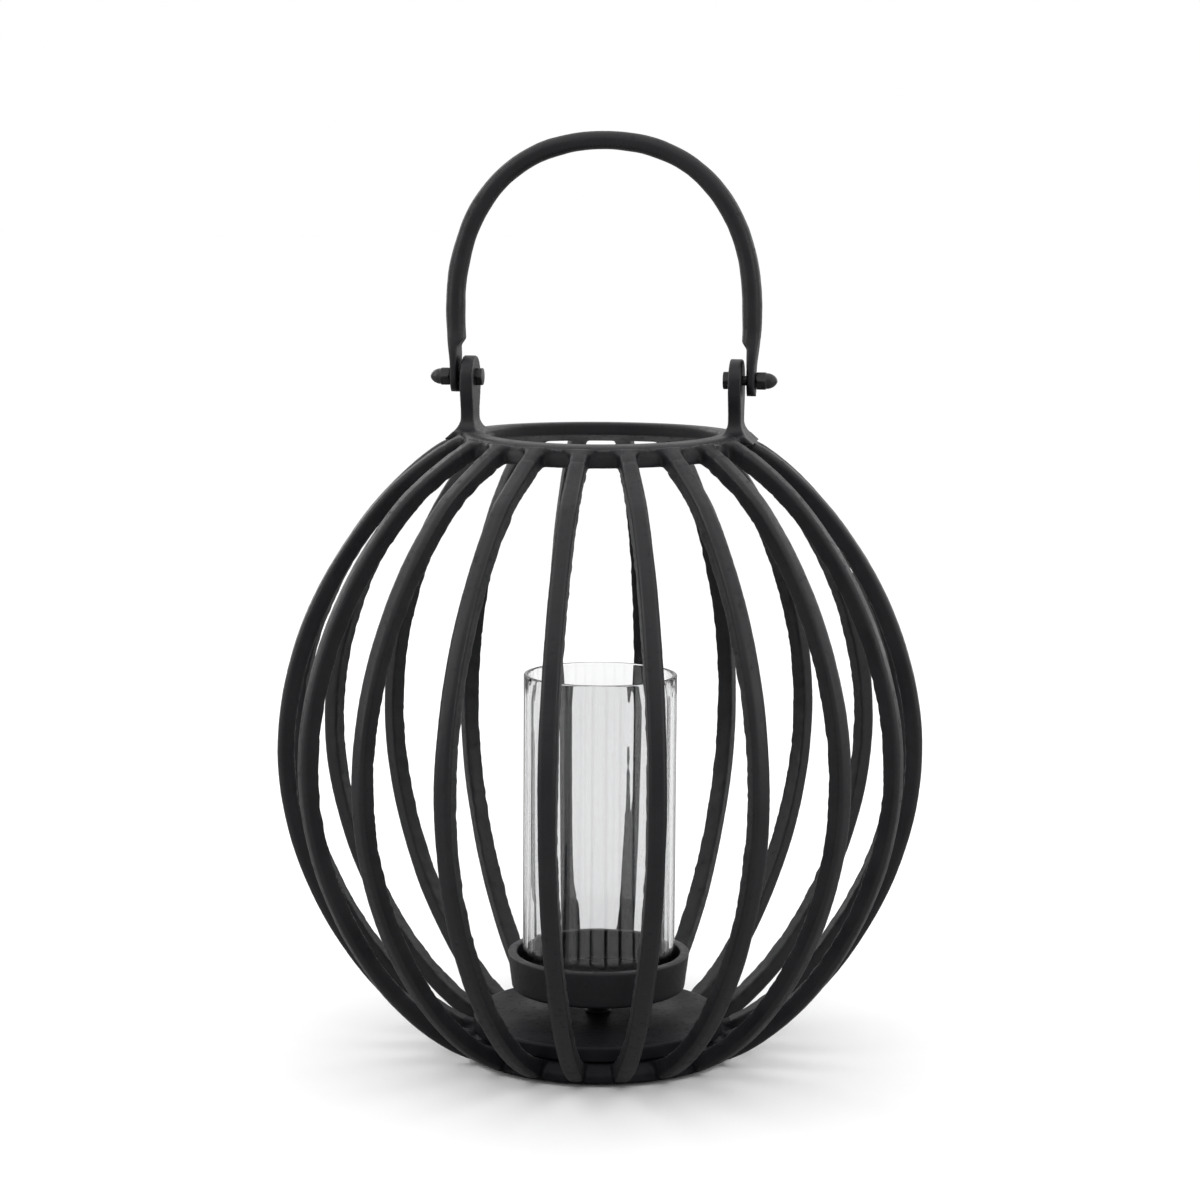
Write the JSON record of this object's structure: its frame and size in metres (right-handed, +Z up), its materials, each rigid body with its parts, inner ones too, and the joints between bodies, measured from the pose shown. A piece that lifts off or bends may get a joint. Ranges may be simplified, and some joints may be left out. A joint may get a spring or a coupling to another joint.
{
  "type": "hurricane candle lantern",
  "caption": "Globe-shaped cage lantern of curved vertical ribs round a glass chimney in a candle cup, with a swinging bail handle.",
  "frame": {"origin": "centre of the foot ring's underside, on the surface that the lantern stands on", "axes": "+Z up along the cage's axis; the two lugs and the handle's bolts lie on X, right lug at +X; front is -Y"},
  "size_m": [0.31, 0.31, 0.443],
  "materials": {
    "black_casting": "satin",
    "black_hardware": "satin",
    "plated_hardware": "satin",
    "clear_glass": "gloss"
  },
  "bodies": {
    "cage": {"foot_ring": "black_casting", "base_plate": "black_casting", "rib_01": "black_casting", "rib_02": "black_casting", "rib_03": "black_casting", "rib_04": "black_casting", "rib_05": "black_casting", "rib_06": "black_casting", "rib_07": "black_casting", "rib_08": "black_casting", "rib_09": "black_casting", "rib_10": "black_casting", "rib_11": "black_casting", "rib_12": "black_casting", "rib_13": "black_casting", "rib_14": "black_casting", "rib_15": "black_casting", "rib_16": "black_casting", "rib_17": "black_casting", "rib_18": "black_casting", "rib_19": "black_casting", "rib_20": "black_casting", "top_ring": "black_casting", "lug_right": "black_casting", "lug_left": "black_casting", "candle_cup": "black_casting", "cup_stem": "black_casting", "bolt_right": "black_hardware", "bolt_left": "black_hardware", "acorn_nut_right": "black_hardware", "acorn_nut_left": "black_hardware", "cup_screw": "plated_hardware", "cup_washer": "plated_hardware", "cup_nut": "plated_hardware"},
    "handle": {"handle": "black_casting"},
    "glass": {"glass_chimney": "clear_glass"}
  },
  "joints": [
    {"name": "handle_swing", "type": "hinge", "parent": "cage", "child": "handle", "pos_m": [0, 0, 0.327], "axis": [1, 0, 0], "range_deg": [-113, 113]},
    {"name": "glass_lift", "type": "slide", "parent": "cage", "child": "glass", "axis": [0, 0, 1], "range_m": [0, 0.23]}
  ]
}
